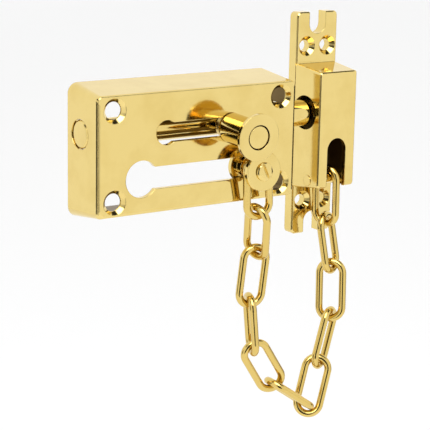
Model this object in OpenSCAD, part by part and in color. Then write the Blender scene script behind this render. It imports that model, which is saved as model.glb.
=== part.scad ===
// Door chain guard with a sliding bolt, in polished brass.
// A hollow casing screwed to the door holds a round bolt with a push-button
// knob and a stud that runs in a keyhole slot. A chain of oval links joins
// the stud to a cross pin in the keeper, which is screwed to the door frame.
//
// Frame: +X along the bolt towards the keeper, +Y into the door, +Z up.
// The origin is the centre of the casing's back face. Millimetres.

/* [Casing] */
// Width of the casing against the door
casing_w = 90; // [86:1:100]
// Height of the casing against the door
casing_h = 50; // [48:1:60]
// Depth of the casing from the door to its front face
casing_d = 20; // [20:0.5:24]
// How much narrower the front face is than the back
casing_taper_w = 2; // [0:0.5:3]
// How much lower the front face is than the back
casing_taper_h = 5; // [0:0.5:6]
// Wall thickness of the casing and the keeper
wall = 2; // [1.5:0.25:2.5]
// Distance between the screw holes, across
screw_span_x = 73.6; // [70:0.2:76]
// Distance between the screw holes, up
screw_span_z = 33.6; // [32:0.2:34]
// Through diameter of the casing's screw holes
screw_hole_d = 6.6; // [5:0.1:7]
// Countersink diameter of the casing's screw holes
screw_sink_d = 9.5; // [8:0.1:9.8]

/* [Bolt] */
// Diameter of the round bolt
bolt_d = 10.4; // [9:0.2:10.6]
// Diameter of the holes that the bolt slides in
bolt_hole_d = 11.2; // [11:0.1:12]
// Height of the bolt's axis above the casing's centre
bolt_z = 7.2; // [7:0.1:8]
// Depth of the bolt's axis in front of the door
bolt_depth = 8.15; // [8:0.05:8.5]
// Length of the bolt
bolt_len = 103; // [101:0.5:104]
// Width of the slot that the knob's neck runs in
knob_slot_w = 7.2; // [7:0.1:7.6]
// Diameter of the slot's round ends
knob_slot_end_d = 9.3; // [9:0.1:10]
// Distance from the slot's middle to the centre of each round end
knob_throw_half = 14.6; // [12:0.2:15]
// How far the knob droops about the bolt's axis, in degrees
knob_droop = 3; // [0:0.5:3]
// Diameter of the knob's stem
knob_stem_d = 11.6; // [10:0.2:12]
// Diameter of the knob's flange
knob_flange_d = 17.7; // [16:0.1:18]
// Distance from the door to the front of the knob
knob_front = 37.9; // [36:0.1:39]

/* [Keyhole slot and stud] */
// Height of the keyhole slot's centre line
key_z = -9.2; // [-10:0.1:-9]
// Width of the keyhole slot
key_slot_w = 8.3; // [8:0.1:9]
// Diameter of the keyhole's round end
key_hole_d = 13.9; // [13.5:0.1:14.5]
// Place of the keyhole's round end along the casing
key_hole_x = -25.2; // [-26:0.1:-24]
// Place of the stud at the slot's plain end
stud_x = 22.2; // [20:0.1:24]
// Diameter of the stud's outer disc
stud_disc_d = 15.3; // [14:0.1:16]

/* [Keeper] */
// Width of the keeper's plate
keeper_w = 20; // [19:0.5:21]
// Height of the keeper's plate
keeper_h = 90; // [86:1:94]
// Thickness of the keeper's plate
keeper_t = 4.8; // [4:0.2:5]
// Diameter of the bolt's hole in the keeper
keeper_bolt_d = 13.6; // [12:0.1:14]
// Width of the chain's slot in the keeper's front
keeper_slot_w = 9.1; // [8.5:0.1:10]
// Diameter of the pin that the chain hangs on
keeper_pin_d = 4.2; // [4:0.1:5]

/* [Chain] */
// Wire diameter of a link
wire_d = 3; // [2.9:0.1:3.1]
// Outer width of a link
link_w = 12.6; // [12.4:0.1:12.8]
// Outer length of a link
link_len = 26.6; // [26.4:0.1:26.8]

/* [Hidden] */

brass = "#e0c46c";
brass_deep = "#c9a648";
steel = "#b9bcc0";

round_fn = 96;      // facets of turned and drilled shapes
hull_fn = 32;       // facets of the corners inside a hull
sliver = 0.01;      // thickness of the outlines that a hull joins
cut = 1;            // how far a cutter runs past what it cuts

// Casing
casing_back_r = 4;
casing_face_r = 2;
casing_edge = 1.2;  // rounding of the casing's front edges
edge = 0.5;         // small chamfer of the other edges

// Bolt, which rests thrown
bolt_left_x = -44.5;
bolt_nose_r = 2.6;
knob_x = 14.1;
knob_neck_d = 5.6;
neck_root = 3.2;         // how far the knob's neck runs past the bolt's axis
knob_gap = 0.5;          // between the casing's face and the knob's stem
knob_flange_t = 1.5;
recess_d = 9.5;          // the button's well in the knob
recess_depth = 8.4;
button_d = 8.4;
button_t = 2;
button_rod_d = 2.4;
button_bore_d = 2.8;
button_sunk = 0.3;       // how far the button sits below the flange
collar_d = 8.9;
collar_bore_d = 6;
collar_t = 2;
collar_gap = 0.3;        // between the casing's wall and the collar
collar_pin_d = 1.2;
collar_pin_len = 8.5;
spring_wire = 0.7;
spring_turns = 4;
spring_side_gap = 0.3;   // between the spring and the well
spring_end_gap = 0.05;

// Stud
stud_flange_d = 13;
stud_flange_t = 1.8;
stud_slot_neck_d = 7.6;
stud_link_neck_d = 5;
stud_clear = 0.25;       // each side of the casing's wall
stud_disc_t = 2;
stud_front = 30.4;
stud_screw_d = 7.2;
stud_screw_shank_d = 3;
stud_screw_len = 6;
stud_screw_head = 1.5;   // height of the screw's round head above the disc
stud_screw_rim = 0.5;    // height of the head's straight rim
stud_screw_slot = 1.1;
stud_screw_slot_depth = 1;
stud_screw_turn = 25;    // turn of the screw's slot, in degrees
stud_end_gap = 0.4;      // left at the end of the slot

// Keeper
keeper_x = 67.05;
keeper_z = 1.2;
keeper_front = 17.3;     // from the door to the box's face
keeper_plate_front = 2.4;
keeper_box_w = 18.3;
keeper_box_top = 24.1;
keeper_box_bottom = -22.2;
keeper_box_r = 1.2;
keeper_plate_r = 2;
keeper_flare_z = 2;      // how far the box spreads at its foot, above and below
notch_w = 8;
notch_depth = 8.8;
keeper_hole_dx = 5.05;
keeper_hole_top = 32.6;
keeper_hole_bottom = -30.2;
keeper_hole_d = 4.7;
keeper_sink_d = 8;
keeper_slot_top = -2.5;
keeper_pin_z = -19.8;
keeper_pin_depth = 11;
keeper_pin_len = 19.2;

// Chain
wire_r = wire_d / 2;
bend_r = (link_w - wire_d) / 2;             // centreline radius of a link's ends
link_reach = link_len - wire_d;             // from end wire to end wire
link_gap = 0.45;                            // play between two links
hang_gap = 0.35;                            // play of a link on the stud
pin_gap = 0.55;                             // and on the pin
stud_hang_depth = 26.1;                     // where the first link sits on the stud
pin_hang_x = 67.4;                          // where the last link sits on the pin
pin_hang_depth = 10.8;

// How each link hangs, in degrees: its lean towards the keeper, its lean out
// from the door, and its turn about its own length. Links 1 to 6 hang from
// the stud, and links 11 to 7 from the keeper's pin.
stud_side = [
    [7, -7, -7],
    [15, -22, -80],
    [-4, -4, -11],
    [6, 0, 70],
    [33, -1, -18],
    [55, 0, -91]
];
keeper_side = [
    [4, -4, -70],
    [10, 2, 26],
    [-3, 5, -49],
    [-20, 5, 28],
    [-20, 6, -32]
];

// Unit vector along a link that hangs with lean a and outward lean b.
function down(h) = [cos(h[1]) * sin(h[0]), -sin(h[1]), -cos(h[1]) * cos(h[0])];
function unit(v) = v / norm(v);

// Centre of the top end wire of link i in a row of hanging links.
function top_wire(first, row, i) = i == 0 ? first :
    top_wire(first, row, i - 1) + link_reach * down(row[i - 1])
    - (wire_d + link_gap) * unit(down(row[i - 1]) + down(row[i]));

stud_hang = [stud_x, -stud_hang_depth, key_z + stud_link_neck_d / 2 + hang_gap + wire_r];
pin_hang = [pin_hang_x, -pin_hang_depth, keeper_pin_z + keeper_pin_d / 2 + pin_gap + wire_r];

// Turns a shape drawn flat (X, height, depth) so that its depth points out of the door.
module on_door() {
    rotate([90, 0, 0]) children();
}

// Flat rectangle with round corners, centred, at a given depth.
module corner_posts(w, h, r, depth) {
    for (sx = [-1, 1], sy = [-1, 1])
        translate([sx * (w / 2 - r), sy * (h / 2 - r), depth])
            cylinder(r = r, h = sliver, $fn = hull_fn);
}

// Straight slot with round ends, cut from depth d0 to d1.
module slot_cut(x0, x1, z, w, d0, d1) {
    translate([x0, z - w / 2, d0]) cube([x1 - x0, w, d1 - d0]);
    for (x = [x0, x1])
        translate([x, z, d0]) cylinder(d = w, h = d1 - d0, $fn = round_fn);
}

// Screw hole with a countersink that opens at depth top.
module sunk_hole(x, z, d, sink_d, d0, top) {
    sink = (sink_d - d) / 2;
    translate([x, z, d0]) cylinder(d = d, h = top - d0 + cut, $fn = round_fn);
    translate([x, z, top - sink]) cylinder(d1 = d, d2 = sink_d, h = sink, $fn = round_fn);
    translate([x, z, top - sliver]) cylinder(d = sink_d, h = cut, $fn = round_fn);
}

module casing_outside() {
    face_w = casing_w - casing_taper_w;
    face_h = casing_h - casing_taper_h;
    hull() {
        corner_posts(casing_w, casing_h, casing_back_r, 0);
        for (a = [0, 45, 90]) {
            inset = 2 * casing_edge * (1 - cos(a));
            depth = casing_d - casing_edge * (1 - sin(a)) - sliver;
            corner_posts(face_w - inset, face_h - inset, casing_face_r, depth);
        }
    }
}

module casing_inside() {
    hull() {
        corner_posts(casing_w - 2 * wall, casing_h - 2 * wall, casing_back_r - wall / 2, -cut);
        corner_posts(casing_w - casing_taper_w - 2 * wall, casing_h - casing_taper_h - 2 * wall,
            casing_face_r / 2, casing_d - wall);
    }
}

module casing() {
    face_in = casing_d - wall - cut;
    face_out = casing_d + cut;
    color(brass) on_door() difference() {
        casing_outside();
        casing_inside();
        for (sx = [-1, 1], sz = [-1, 1])
            sunk_hole(sx * screw_span_x / 2, sz * screw_span_z / 2, screw_hole_d, screw_sink_d,
                face_in, casing_d);
        slot_cut(-knob_throw_half, knob_throw_half, bolt_z, knob_slot_w, face_in, face_out);
        for (sx = [-1, 1])
            translate([sx * knob_throw_half, bolt_z, face_in])
                cylinder(d = knob_slot_end_d, h = wall + 2 * cut, $fn = round_fn);
        slot_cut(key_hole_x, stud_x + stud_end_gap, key_z, key_slot_w, face_in, face_out);
        translate([key_hole_x, key_z, face_in])
            cylinder(d = key_hole_d, h = wall + 2 * cut, $fn = round_fn);
        translate([-casing_w / 2 - cut, bolt_z, bolt_depth]) rotate([0, 90, 0])
            cylinder(d = bolt_hole_d, h = casing_w + 2 * cut, $fn = round_fn);
    }
}

// The bolt and knob share a frame with its origin on the bolt's axis, at the
// knob, and its third axis out along the knob.
module on_bolt() {
    translate([knob_x, -bolt_depth, bolt_z]) rotate([knob_droop, 0, 0]) rotate([90, 0, 0]) children();
}

// Distance from the bolt's axis to a depth in front of the door.
function out(depth) = depth - bolt_depth;

knob_base = out(casing_d) + knob_gap;
knob_top = out(knob_front);
well_floor = knob_top - recess_depth;
button_top = knob_top - button_sunk;
collar_out = out(casing_d - wall) - collar_gap;

// Half outline of the bolt, from its left end to its rounded nose.
function bolt_outline() = concat(
    [[0, 0], [bolt_d / 2 - edge, 0], [bolt_d / 2, edge]],
    [for (a = [0 : 15 : 90]) [
        bolt_d / 2 - bolt_nose_r + bolt_nose_r * cos(a),
        bolt_len - bolt_nose_r + bolt_nose_r * sin(a)]],
    [[0, bolt_len]]
);

module bolt_rod() {
    color(brass) difference() {
        translate([bolt_left_x, -bolt_depth, bolt_z]) rotate([0, 90, 0])
            rotate_extrude($fn = round_fn) polygon(bolt_outline());
        on_bolt() translate([0, 0, -neck_root])
            cylinder(d = knob_neck_d, h = bolt_d, $fn = round_fn);
    }
}

module knob() {
    color(brass) on_bolt() difference() {
        union() {
            translate([0, 0, -neck_root])
                cylinder(d = knob_neck_d, h = neck_root + knob_base + cut, $fn = round_fn);
            translate([0, 0, knob_base])
                cylinder(d = knob_stem_d, h = knob_top - knob_base, $fn = round_fn);
            translate([0, 0, knob_top - knob_flange_t])
                cylinder(d = knob_flange_d, h = knob_flange_t, $fn = round_fn);
        }
        translate([0, 0, well_floor])
            cylinder(d = recess_d, h = recess_depth + cut, $fn = round_fn);
        translate([0, 0, bolt_d / 2 + sliver])
            cylinder(d = button_bore_d, h = knob_top, $fn = round_fn);
        translate([-knob_neck_d, -collar_pin_d, bolt_d / 2 + sliver])
            cube([2 * knob_neck_d, 2 * collar_pin_d, collar_out - bolt_d / 2]);
    }
}

module push_button() {
    rod_end = collar_out - collar_t;
    color(brass) on_bolt() difference() {
        union() {
            translate([0, 0, button_top - button_t])
                cylinder(d = button_d, h = button_t, $fn = round_fn);
            translate([0, 0, rod_end])
                cylinder(d = button_rod_d, h = button_top - rod_end - sliver, $fn = round_fn);
        }
        translate([-button_rod_d, 0, collar_out - collar_t / 2]) rotate([0, 90, 0])
            cylinder(d = collar_pin_d, h = 2 * button_rod_d, $fn = round_fn);
    }
}

// Coil of round wire with its axis along the third axis.
module coil(mean_r, wire_r, z0, z1, turns) {
    sides = 8;
    steps = turns * 18;
    function ring(i) = let (a = 360 * turns * i / steps, z = z0 + (z1 - z0) * i / steps)
        [for (k = [0 : sides - 1]) let (t = 360 * k / sides, r = mean_r + wire_r * cos(t))
            [r * cos(a), r * sin(a), z + wire_r * sin(t)]];
    points = [for (i = [0 : steps]) each ring(i)];
    faces = concat(
        [for (i = [0 : steps - 1], k = [0 : sides - 1]) let (n = (k + 1) % sides)
            [i * sides + k, (i + 1) * sides + k, (i + 1) * sides + n, i * sides + n]],
        [[for (k = [0 : sides - 1]) k]],
        [[for (k = [sides - 1 : -1 : 0]) steps * sides + k]]
    );
    polyhedron(points, faces, convexity = 10);
}

module button_spring() {
    spring_lift = spring_wire / 2 + spring_end_gap;
    color(steel) on_bolt()
        coil(recess_d / 2 - spring_wire / 2 - spring_side_gap, spring_wire / 2, well_floor + spring_lift,
            button_top - button_t - spring_lift, spring_turns);
}

module lock_collar() {
    color(brass_deep) on_bolt() translate([0, 0, collar_out - collar_t]) difference() {
        cylinder(d = collar_d, h = collar_t, $fn = round_fn);
        translate([0, 0, -cut]) cylinder(d = collar_bore_d, h = collar_t + 2 * cut, $fn = round_fn);
        translate([-collar_d, 0, collar_t / 2]) rotate([0, 90, 0])
            cylinder(d = collar_pin_d, h = 2 * collar_d, $fn = round_fn);
    }
}

module collar_pin() {
    color(steel) on_bolt() translate([-collar_pin_len / 2, 0, collar_out - collar_t / 2]) rotate([0, 90, 0])
        cylinder(d = collar_pin_d, h = collar_pin_len, $fn = round_fn);
}

// The stud's pieces share a frame with its third axis out of the door.
module on_stud() {
    translate([stud_x, 0, key_z]) on_door() children();
}

disc_back = stud_front - stud_disc_t;

module chain_stud() {
    color(brass) on_stud() difference() {
        union() {
            translate([0, 0, casing_d - wall - stud_clear - stud_flange_t])
                cylinder(d = stud_flange_d, h = stud_flange_t, $fn = round_fn);
            translate([0, 0, casing_d - wall - stud_clear - stud_flange_t])
                cylinder(d = stud_slot_neck_d, h = wall + 2 * stud_clear + stud_flange_t, $fn = round_fn);
            translate([0, 0, casing_d])
                cylinder(d = stud_link_neck_d, h = disc_back - casing_d, $fn = round_fn);
        }
        translate([0, 0, stud_front - stud_screw_len - cut])
            cylinder(d = stud_screw_shank_d, h = stud_screw_len + cut, $fn = round_fn);
    }
}

module stud_disc() {
    color(brass) on_stud() translate([0, 0, disc_back]) difference() {
        union() {
            cylinder(d = stud_disc_d, h = stud_disc_t - edge, $fn = round_fn);
            translate([0, 0, stud_disc_t - edge])
                cylinder(d1 = stud_disc_d, d2 = stud_disc_d - edge, h = edge, $fn = round_fn);
        }
        translate([0, 0, -cut])
            cylinder(d = stud_screw_shank_d, h = stud_disc_t + 2 * cut, $fn = round_fn);
    }
}

// Half outline of the stud screw's round head, from its underside up to its crown.
function screw_head_outline() = concat(
    [[0, 0], [stud_screw_d / 2, 0]],
    [for (a = [0 : 15 : 90]) [
        stud_screw_d / 2 * cos(a),
        stud_screw_rim + (stud_screw_head - stud_screw_rim) * sin(a)]]
);

module stud_screw() {
    color(brass_deep) on_stud() translate([0, 0, stud_front]) difference() {
        union() {
            translate([0, 0, -stud_screw_len])
                cylinder(d = stud_screw_shank_d, h = stud_screw_len + sliver, $fn = round_fn);
            rotate_extrude($fn = round_fn) polygon(screw_head_outline());
        }
        rotate([0, 0, stud_screw_turn])
            translate([-stud_screw_slot / 2, -stud_screw_d, stud_screw_head - stud_screw_slot_depth])
                cube([stud_screw_slot, 2 * stud_screw_d, 2 * stud_screw_head]);
    }
}

// Tapered box of the keeper, from depth d0 to the face at d1, smaller by inset all round.
module keeper_box(inset, d0, d1) {
    mid = (keeper_box_top + keeper_box_bottom) / 2;
    h = keeper_box_top - keeper_box_bottom;
    translate([keeper_x, mid, 0]) hull() {
        corner_posts(keeper_w - 2 * inset, h + 2 * keeper_flare_z - 2 * inset, keeper_box_r, d0);
        corner_posts(keeper_box_w - 2 * inset, h - 2 * inset, keeper_box_r, d1 - edge);
        corner_posts(keeper_box_w - 2 * inset - 2 * edge, h - 2 * inset - 2 * edge,
            keeper_box_r, d1 - sliver);
    }
}

module keeper_plate() {
    translate([keeper_x, keeper_z, -keeper_plate_front]) hull() {
        corner_posts(keeper_w, keeper_h, keeper_plate_r, 0);
        corner_posts(keeper_w, keeper_h, keeper_plate_r, keeper_t - edge);
        corner_posts(keeper_w - 2 * edge, keeper_h - 2 * edge, keeper_plate_r,
            keeper_t - sliver);
    }
}

// Cutter for a notch that runs in from one end of the keeper's plate.
module keeper_notch(sz) {
    end = keeper_z + sz * keeper_h / 2;
    floor_z = end - sz * (notch_depth - notch_w / 2);
    slot_cut_z(keeper_x, floor_z, end + sz * notch_w, notch_w, -keeper_t, keeper_t);
}

// Upright slot between two heights, with round ends.
module slot_cut_z(x, z0, z1, w, d0, d1) {
    translate([x - w / 2, min(z0, z1), d0]) cube([w, abs(z1 - z0), d1 - d0]);
    for (z = [z0, z1])
        translate([x, z, d0]) cylinder(d = w, h = d1 - d0, $fn = round_fn);
}

module keeper() {
    color(brass) on_door() difference() {
        union() {
            keeper_plate();
            keeper_box(0, 0, keeper_front);
        }
        keeper_box(wall, keeper_plate_front, keeper_front - wall);
        // bolt's hole in the side wall that faces the casing
        translate([keeper_x - keeper_w, bolt_z, bolt_depth]) rotate([0, 90, 0])
            cylinder(d = keeper_bolt_d, h = keeper_w, $fn = round_fn);
        // chain's slot, open below, through the front and the bottom wall
        slot_cut_z(keeper_x, keeper_slot_top - keeper_slot_w / 2, keeper_box_bottom - keeper_slot_w,
            keeper_slot_w, keeper_front - wall - cut, keeper_front + cut);
        inner_w = keeper_box_w - 2 * wall;
        plate_face = keeper_plate_front + sliver;
        translate([keeper_x - inner_w / 2, keeper_box_bottom - 2 * wall, plate_face])
            cube([inner_w, 3 * wall + cut, keeper_front - wall - plate_face]);
        // pin's holes, through the side walls
        translate([keeper_x - keeper_w, keeper_pin_z, keeper_pin_depth]) rotate([0, 90, 0])
            cylinder(d = keeper_pin_d, h = 2 * keeper_w, $fn = round_fn);
        for (sx = [-1, 1], z = [keeper_hole_top, keeper_hole_bottom])
            sunk_hole(keeper_x + sx * keeper_hole_dx, z, keeper_hole_d, keeper_sink_d,
                -keeper_t, keeper_plate_front);
        for (sz = [-1, 1]) keeper_notch(sz);
    }
}

module keeper_pin() {
    color(brass_deep) translate([keeper_x - keeper_pin_len / 2, -keeper_pin_depth, keeper_pin_z])
        rotate([0, 90, 0]) cylinder(d = keeper_pin_d, h = keeper_pin_len, $fn = round_fn);
}

// One welded oval link, hanging from the centre of its top end wire.
module link() {
    straight = link_reach - 2 * bend_r;
    translate([0, 0, -link_reach / 2]) rotate([90, 0, 0]) {
        for (s = [-1, 1])
            translate([0, s * straight / 2, 0]) rotate([0, 0, s > 0 ? 0 : 180])
                rotate_extrude(angle = 180, $fn = round_fn)
                    translate([bend_r, 0]) circle(d = wire_d, $fn = 48);
        for (s = [-1, 1])
            translate([s * bend_r, straight / 2, 0]) rotate([90, 0, 0])
                cylinder(d = wire_d, h = straight, $fn = 48);
    }
}

module hung_link(first, row, i) {
    h = row[i];
    color(brass) translate(top_wire(first, row, i)) rotate([-h[1], -h[0], 0]) rotate([0, 0, h[2]]) link();
}

module chain_link(n) {
    if (n <= 6) hung_link(stud_hang, stud_side, n - 1);
    else hung_link(pin_hang, keeper_side, 11 - n);
}

casing();
bolt_rod();
knob();
push_button();
button_spring();
lock_collar();
collar_pin();
chain_stud();
stud_disc();
stud_screw();
keeper();
keeper_pin();
chain_link(1);  // chain_link_01
chain_link(2);  // chain_link_02
chain_link(3);  // chain_link_03
chain_link(4);  // chain_link_04
chain_link(5);  // chain_link_05
chain_link(6);  // chain_link_06
chain_link(7);  // chain_link_07
chain_link(8);  // chain_link_08
chain_link(9);  // chain_link_09
chain_link(10);  // chain_link_10
chain_link(11);  // chain_link_11
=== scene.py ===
"""Looks for the door chain guard: materials, rounded edges, floor, light and camera.

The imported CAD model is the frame. Everything is in metres, with +X along the
bolt towards the keeper, +Y into the door and +Z up.
"""

import math

import bmesh
import bpy
from mathutils import Matrix, Vector

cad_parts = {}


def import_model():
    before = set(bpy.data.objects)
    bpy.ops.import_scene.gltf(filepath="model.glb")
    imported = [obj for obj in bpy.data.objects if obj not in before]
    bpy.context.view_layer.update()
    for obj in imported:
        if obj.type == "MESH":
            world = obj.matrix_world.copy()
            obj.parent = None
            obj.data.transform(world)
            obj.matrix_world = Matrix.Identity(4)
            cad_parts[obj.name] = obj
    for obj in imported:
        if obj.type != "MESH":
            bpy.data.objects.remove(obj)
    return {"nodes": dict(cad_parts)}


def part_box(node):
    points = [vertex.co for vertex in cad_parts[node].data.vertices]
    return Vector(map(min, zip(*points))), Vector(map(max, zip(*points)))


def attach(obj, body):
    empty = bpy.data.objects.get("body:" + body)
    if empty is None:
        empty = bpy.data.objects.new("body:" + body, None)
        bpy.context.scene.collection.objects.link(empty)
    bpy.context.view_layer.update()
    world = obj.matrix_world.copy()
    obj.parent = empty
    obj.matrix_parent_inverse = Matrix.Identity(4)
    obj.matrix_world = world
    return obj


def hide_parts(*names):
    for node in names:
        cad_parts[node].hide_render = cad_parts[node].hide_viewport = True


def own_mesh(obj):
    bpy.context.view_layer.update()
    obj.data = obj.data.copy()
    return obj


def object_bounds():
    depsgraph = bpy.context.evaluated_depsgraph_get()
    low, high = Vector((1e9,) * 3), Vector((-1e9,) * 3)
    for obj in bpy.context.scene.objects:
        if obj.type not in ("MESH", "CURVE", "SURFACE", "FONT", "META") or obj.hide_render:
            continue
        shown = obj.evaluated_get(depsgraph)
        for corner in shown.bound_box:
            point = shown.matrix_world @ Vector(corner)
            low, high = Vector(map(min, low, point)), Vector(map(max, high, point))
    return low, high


# Camera, at the photograph's viewing angle: place, lens and sensor, and angles in degrees
CAMERA_AT = (-0.3258, -0.5055, 0.1120)
CAMERA_LENS_MM = 133.94
CAMERA_SENSOR_MM = 36
CAMERA_NEAR = 0.01
CAMERA_FAR = 100
CAMERA_YAW = 34.45
CAMERA_PITCH = 13.22
CAMERA_ROLL = 1.11

# Inside of the two castings, where shade is painted: centre (x, z), half size (x, z at the door), how
# fast the height narrows with depth, and the depths it lies between
CASING_HOLLOW = ((0.0, 0.0), (0.0435, 0.0240), 0.125, (-0.0181, 0.001))
KEEPER_HOLLOW = ((0.06705, 0.00095), (0.0086, 0.02435), 0.14, (-0.0154, -0.0023))
# Painted shade: the dark colour given to the hollows' inner surfaces
HOLLOW_PAINTED_SHADE = (0.17, 0.11, 0.035)
CAST_ROUGHNESS = 0.35

# The guard hangs over a strip of pale floor that runs away from the camera
FLOOR_DROP = 0.5
FLOOR_WIDTH = 2.6
FLOOR_NEAR = 1.0
FLOOR_FAR = 12.0
FLOOR_TONES = ((0.96, 0.96, 0.96), (0.98, 0.98, 0.98))

# Soft key lamp: place from the object's centre, watts and width
KEY_OFFSET = (-0.5, -0.9, 1.3)
KEY_WATTS = 16
KEY_WIDTH = 1.2

WORLD_STRENGTH = 1.12
# Dark openings in the white tent: azimuth and height in degrees, how far the
# darkness is full and where it ends, and how much light is left
OPENINGS = [
    (235, 13, 13, 23, 0.01),
    (235, -13, 13, 23, 0.01),
    (158, -6, 8, 16, 0.05),
    (352, -6, 8, 15, 0.05),
    (326, 57, 14, 24, 0.03),
    (173, 37, 8, 18, 0.1),
]

# Spring under the button: wire radius, turns, steps per turn, sides round the wire, and the knob's tilt in
# degrees
SPRING_WIRE_R = 0.00035
SPRING_TURNS = 4
SPRING_RING_STEPS = 24
SPRING_SIDES = 10
KNOB_TILT = 3.0

LINKS = ["chain_link_%02d" % n for n in range(1, 12)]


def node_tree(name):
    """An empty material's node tree."""
    material = bpy.data.materials.new(name)
    material.use_nodes = True
    material.node_tree.nodes.clear()
    return material, material.node_tree


def add(tree, kind, inputs=None, **settings):
    """A node with its settings and input values."""
    node = tree.nodes.new(kind)
    for key, value in settings.items():
        setattr(node, key, value)
    for key, value in (inputs or {}).items():
        node.inputs[key].default_value = value
    return node


def ramp(tree, low, high, low_value, high_value):
    """A map range node that spreads part of a noise over a range of values."""
    return add(tree, "ShaderNodeMapRange", {
        "From Min": low, "From Max": high, "To Min": low_value, "To Max": high_value})


def stretched_noise(tree, place, stretch, scale, detail, roughness=0.55):
    """Noise stretched along an axis, in the piece's own frame."""
    mapping = add(tree, "ShaderNodeMapping", {"Scale": stretch})
    noise = add(tree, "ShaderNodeTexNoise", {"Scale": scale, "Detail": detail, "Roughness": roughness})
    tree.links.new(place.outputs["Object"], mapping.inputs["Vector"])
    tree.links.new(mapping.outputs["Vector"], noise.inputs["Vector"])
    return noise


def math_node(tree, operation, first, second=None):
    """A math node fed by sockets or numbers."""
    node = add(tree, "ShaderNodeMath", operation=operation)
    for socket, value in zip(node.inputs, (first, second)):
        if value is None:
            continue
        if isinstance(value, (int, float)):
            socket.default_value = value
        else:
            tree.links.new(value, socket)
    return node.outputs["Value"]


def hollow_mask(tree, place, hollow):
    """1 on the surfaces of a casting's hollow, where shade is painted, 0 outside it."""
    centre, half, slope, (deep, shallow) = hollow
    axes = add(tree, "ShaderNodeSeparateXYZ")
    tree.links.new(place.outputs["Object"], axes.inputs["Vector"])
    across = math_node(tree, "ABSOLUTE", math_node(tree, "SUBTRACT", axes.outputs["X"], centre[0]))
    up = math_node(tree, "ABSOLUTE", math_node(tree, "SUBTRACT", axes.outputs["Z"], centre[1]))
    reach = math_node(tree, "ADD", math_node(tree, "MULTIPLY", axes.outputs["Y"], slope), half[1])
    tests = [
        math_node(tree, "LESS_THAN", across, half[0]),
        math_node(tree, "LESS_THAN", up, reach),
        math_node(tree, "GREATER_THAN", axes.outputs["Y"], deep),
        math_node(tree, "LESS_THAN", axes.outputs["Y"], shallow),
    ]
    mask = tests[0]
    for test in tests[1:]:
        mask = math_node(tree, "MULTIPLY", mask, test)
    return mask


def metal(name, bright, dull, rough, polish_lines, edge_radius=0.0003, hollow=None):
    """Polished metal: cloudy colour, uneven gloss, casting waves, fine polishing lines and soft edges.

    bright and dull are the two tones, rough is (least, most) roughness and
    polish_lines is the direction across which the fine lines repeat. A hollow
    gets painted shade: a dark colour, and more roughness.
    """
    material, tree = node_tree(name)
    links = tree.links
    place = add(tree, "ShaderNodeTexCoord")
    cloud = stretched_noise(tree, place, (1, 1, 1), 90, 4)
    lines = stretched_noise(tree, place, polish_lines, 420, 6, 0.7)
    waves = stretched_noise(tree, place, (1, 1, 1), 160, 2)
    grain = stretched_noise(tree, place, (1, 1, 1), 5200, 3)

    tone = add(tree, "ShaderNodeMix", data_type="RGBA")
    tone.inputs["A"].default_value = (*bright, 1)
    tone.inputs["B"].default_value = (*dull, 1)
    tone_share = ramp(tree, 0.42, 0.75, 0.0, 0.55)
    links.new(cloud.outputs["Fac"], tone_share.inputs["Value"])
    links.new(tone_share.outputs["Result"], tone.inputs["Factor"])

    gloss = ramp(tree, 0.3, 0.72, rough[0], rough[1])
    links.new(lines.outputs["Fac"], gloss.inputs["Value"])

    wave_bump = add(tree, "ShaderNodeBump", {"Strength": 0.12, "Distance": 0.0002})
    line_bump = add(tree, "ShaderNodeBump", {"Strength": 0.05, "Distance": 0.00004})
    grain_bump = add(tree, "ShaderNodeBump", {"Strength": 0.03, "Distance": 0.00002})
    edges = add(tree, "ShaderNodeBevel", {"Radius": edge_radius}, samples=6)
    links.new(waves.outputs["Fac"], wave_bump.inputs["Height"])
    links.new(lines.outputs["Fac"], line_bump.inputs["Height"])
    links.new(grain.outputs["Fac"], grain_bump.inputs["Height"])
    links.new(edges.outputs["Normal"], wave_bump.inputs["Normal"])
    links.new(wave_bump.outputs["Normal"], line_bump.inputs["Normal"])
    links.new(line_bump.outputs["Normal"], grain_bump.inputs["Normal"])

    colour = tone.outputs["Result"]
    roughness = gloss.outputs["Result"]
    if hollow:
        mask = hollow_mask(tree, place, hollow)
        # Painted shade: the hollow's surfaces are mixed towards a dark colour
        hollow_shade = add(tree, "ShaderNodeMix", data_type="RGBA")
        hollow_shade.inputs["B"].default_value = (*HOLLOW_PAINTED_SHADE, 1)
        links.new(mask, hollow_shade.inputs["Factor"])
        links.new(colour, hollow_shade.inputs["A"])
        colour = hollow_shade.outputs["Result"]
        roughness = math_node(tree, "ADD", roughness, math_node(tree, "MULTIPLY", mask, CAST_ROUGHNESS))

    shader = add(tree, "ShaderNodeBsdfPrincipled", {"Metallic": 1.0})
    output = add(tree, "ShaderNodeOutputMaterial")
    links.new(colour, shader.inputs["Base Color"])
    links.new(roughness, shader.inputs["Roughness"])
    links.new(grain_bump.outputs["Normal"], shader.inputs["Normal"])
    links.new(shader.outputs["BSDF"], output.inputs["Surface"])
    return material


# Tones: bright brass, deeper brass, a darker one for the chain, and the darkest as painted shade for hidden
# parts
GOLD = (0.76, 0.59, 0.22)
DEEP_GOLD = (0.67, 0.49, 0.15)
DARK_GOLD = (0.64, 0.46, 0.14)
SHADED_HIDDEN_GOLD = (0.5, 0.34, 0.1)
STEEL = (0.62, 0.63, 0.65)
DARK_STEEL = (0.42, 0.42, 0.43)
FLAT_EDGE = 0.0005
KEEPER_EDGE = 0.0004


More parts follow.
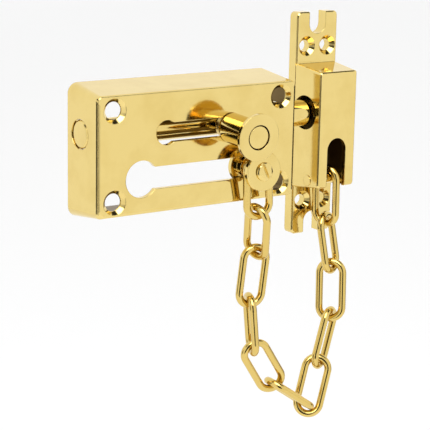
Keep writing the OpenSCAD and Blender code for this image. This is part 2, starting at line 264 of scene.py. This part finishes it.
def make_materials():
    """Each finish by name: its tones, gloss, polishing lines and edge."""
    across = (0.15, 1, 6)
    upright = (6, 1, 0.15)
    return {
        "casing": metal("casing_brass", GOLD, DEEP_GOLD, (0.05, 0.13), across, FLAT_EDGE, CASING_HOLLOW),
        "keeper": metal("keeper_brass", GOLD, DEEP_GOLD, (0.06, 0.15), upright, KEEPER_EDGE, KEEPER_HOLLOW),
        "turned": metal("turned_brass", GOLD, DEEP_GOLD, (0.05, 0.12), (1, 8, 1)),
        "bolt": metal("bolt_brass", GOLD, DEEP_GOLD, (0.06, 0.14), (8, 0.3, 0.3)),
        "chain": metal("chain_brass", DEEP_GOLD, DARK_GOLD, (0.06, 0.14), (2, 2, 2)),
        # Painted shade: the hidden lock collar gets a darker brass
        "inner": metal("inner_brass", DEEP_GOLD, SHADED_HIDDEN_GOLD, (0.2, 0.34), (1, 6, 1)),
        "steel": metal("spring_steel", STEEL, DARK_STEEL, (0.18, 0.32), (4, 4, 4)),
    }


NODE_MATERIAL = {
    "casing": "casing",
    "keeper": "keeper",
    "bolt_rod": "bolt",
    "knob": "turned",
    "push_button": "turned",
    "chain_stud": "turned",
    "stud_disc": "turned",
    "stud_screw": "turned",
    "keeper_pin": "turned",
    "lock_collar": "inner",
    "collar_pin": "steel",
    "button_spring": "steel",
    **{link: "chain" for link in LINKS},
}


def dress(frame, materials):
    """Each CAD node gets its material."""
    for name, obj in frame["nodes"].items():
        obj.data.materials.clear()
        obj.data.materials.append(materials[NODE_MATERIAL[name]])


def make_spring(material):
    """The button's spring, a coil fitted to the spring part's box and tilted with the knob."""
    low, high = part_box("button_spring")
    tilt = math.radians(KNOB_TILT)
    inward = Vector((0, math.cos(tilt), math.sin(tilt)))
    outer_r = (high.x - low.x) / 2
    length = (high.y - low.y - 2 * outer_r * math.sin(tilt)) / math.cos(tilt)
    middle = (low + high) / 2
    start = middle - inward * (length / 2 - SPRING_WIRE_R)
    rise = length - 2 * SPRING_WIRE_R
    coil_r = outer_r - SPRING_WIRE_R
    across = Vector((1, 0, 0))
    over = inward.cross(across)
    steps = SPRING_TURNS * SPRING_RING_STEPS

    bm = bmesh.new()
    rings = []
    for step in range(steps + 1):
        turn = math.tau * step / SPRING_RING_STEPS
        outward = across * math.cos(turn) + over * math.sin(turn)
        centre = start + outward * coil_r + inward * (rise * step / steps)
        around = [math.tau * side / SPRING_SIDES for side in range(SPRING_SIDES)]
        ring = [centre + SPRING_WIRE_R * (outward * math.cos(a) + inward * math.sin(a)) for a in around]
        rings.append([bm.verts.new(point) for point in ring])
    for ring, following in zip(rings, rings[1:]):
        for side in range(SPRING_SIDES):
            after = (side + 1) % SPRING_SIDES
            bm.faces.new((ring[side], ring[after], following[after], following[side]))
    bm.faces.new(rings[0])
    bm.faces.new(reversed(rings[-1]))
    bmesh.ops.recalc_face_normals(bm, faces=bm.faces)
    mesh = bpy.data.meshes.new("button_spring_coil")
    bm.to_mesh(mesh)
    bm.free()
    mesh.shade_smooth()
    mesh.materials.append(material)
    spring = bpy.data.objects.new("button_spring_coil", mesh)
    bpy.context.scene.collection.objects.link(spring)
    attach(spring, "bolt")
    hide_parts("button_spring")
    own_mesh(spring)


def make_floor(low):
    """A plain pale floor under and behind the object."""
    floor_length = FLOOR_FAR + FLOOR_NEAR
    view = Matrix.Rotation(math.radians(-CAMERA_YAW), 4, "Z")
    middle = view @ Vector((0, (FLOOR_FAR - FLOOR_NEAR) / 2, 0))
    bpy.ops.mesh.primitive_grid_add(x_subdivisions=4, y_subdivisions=16, size=1)
    floor = bpy.context.object
    floor.name = "floor"
    floor.scale = (FLOOR_WIDTH, floor_length, 1)
    floor.rotation_euler = view.to_euler()
    floor.location = (middle.x, middle.y, low.z - FLOOR_DROP)
    material, tree = node_tree("pale_floor")
    place = add(tree, "ShaderNodeTexCoord")
    noise = stretched_noise(tree, place, (1, 1, 1), 3, 2)
    tone = add(tree, "ShaderNodeMix", data_type="RGBA")
    tone.inputs["A"].default_value = (*FLOOR_TONES[0], 1)
    tone.inputs["B"].default_value = (*FLOOR_TONES[1], 1)
    shader = add(tree, "ShaderNodeBsdfPrincipled", {"Roughness": 0.8, "Specular IOR Level": 0.1})
    output = add(tree, "ShaderNodeOutputMaterial")
    tree.links.new(noise.outputs["Fac"], tone.inputs["Factor"])
    tree.links.new(tone.outputs["Result"], shader.inputs["Base Color"])
    tree.links.new(shader.outputs["BSDF"], output.inputs["Surface"])
    floor.data.materials.append(material)


def camera_axes():
    """The camera's turn, from its yaw, downward pitch and roll."""
    return (Matrix.Rotation(math.radians(-CAMERA_YAW), 4, "Z")
            @ Matrix.Rotation(math.radians(90 - CAMERA_PITCH), 4, "X")
            @ Matrix.Rotation(math.radians(CAMERA_ROLL), 4, "Z"))


def make_camera():
    """The camera, and the scene's active one."""
    data = bpy.data.cameras.new("camera")
    data.sensor_width = CAMERA_SENSOR_MM
    data.lens = CAMERA_LENS_MM
    data.clip_start = CAMERA_NEAR
    data.clip_end = CAMERA_FAR
    camera = bpy.data.objects.new("camera", data)
    camera.matrix_world = Matrix.Translation(CAMERA_AT) @ camera_axes()
    bpy.context.scene.collection.objects.link(camera)
    bpy.context.scene.camera = camera


def direction(azimuth, height):
    """The unit vector at an azimuth from +X and a height above the horizon."""
    return (Matrix.Rotation(math.radians(azimuth), 3, "Z")
            @ Matrix.Rotation(math.radians(-height), 3, "Y") @ Vector((1, 0, 0)))


def opening(tree, place, centre, full_deg, end_deg):
    """1 inside a cone of directions, fading to 0 at its rim."""
    dot = add(tree, "ShaderNodeVectorMath", operation="DOT_PRODUCT")
    dot.inputs[1].default_value = centre
    tree.links.new(place.outputs["Generated"], dot.inputs[0])
    fade = add(tree, "ShaderNodeMapRange", {
        "From Min": math.cos(math.radians(end_deg)), "From Max": math.cos(math.radians(full_deg))},
        interpolation_type="SMOOTHSTEP")
    tree.links.new(dot.outputs["Value"], fade.inputs["Value"])
    return fade.outputs["Result"]


def make_world():
    """A white tent of light, with dark openings that the polished brass mirrors."""
    world = bpy.data.worlds.new("white_tent")
    bpy.context.scene.world = world
    world.use_nodes = True
    tree = world.node_tree
    background = tree.nodes["Background"]
    background.inputs["Strength"].default_value = WORLD_STRENGTH
    place = add(tree, "ShaderNodeTexCoord")
    shade = None
    for azimuth, height, full_deg, end_deg, level in OPENINGS:
        mix = add(tree, "ShaderNodeMix", data_type="RGBA")
        mix.inputs["A"].default_value = (1, 1, 1, 1)
        mix.inputs["B"].default_value = (level, level, level, 1)
        darkness = opening(tree, place, direction(azimuth, height), full_deg, end_deg)
        tree.links.new(darkness, mix.inputs["Factor"])
        if shade:
            tree.links.new(shade, mix.inputs["A"])
        shade = mix.outputs["Result"]
    tree.links.new(shade, background.inputs["Color"])


def make_lights(centre):
    """A soft key from above and to the left."""
    data = bpy.data.lights.new("key", "AREA")
    data.energy = KEY_WATTS
    data.size = KEY_WIDTH
    key = bpy.data.objects.new("key", data)
    at = centre + Vector(KEY_OFFSET)
    key.location = at
    key.rotation_euler = (centre - at).to_track_quat("-Z", "Y").to_euler()
    bpy.context.scene.collection.objects.link(key)


def main():
    """Loads the frame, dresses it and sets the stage."""
    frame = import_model()
    cad_low, cad_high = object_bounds()
    materials = make_materials()
    dress(frame, materials)
    make_spring(materials["steel"])
    make_floor(cad_low)
    make_camera()
    make_world()
    make_lights((cad_low + cad_high) / 2)
    bpy.context.scene.view_settings.view_transform = "Standard"


main()
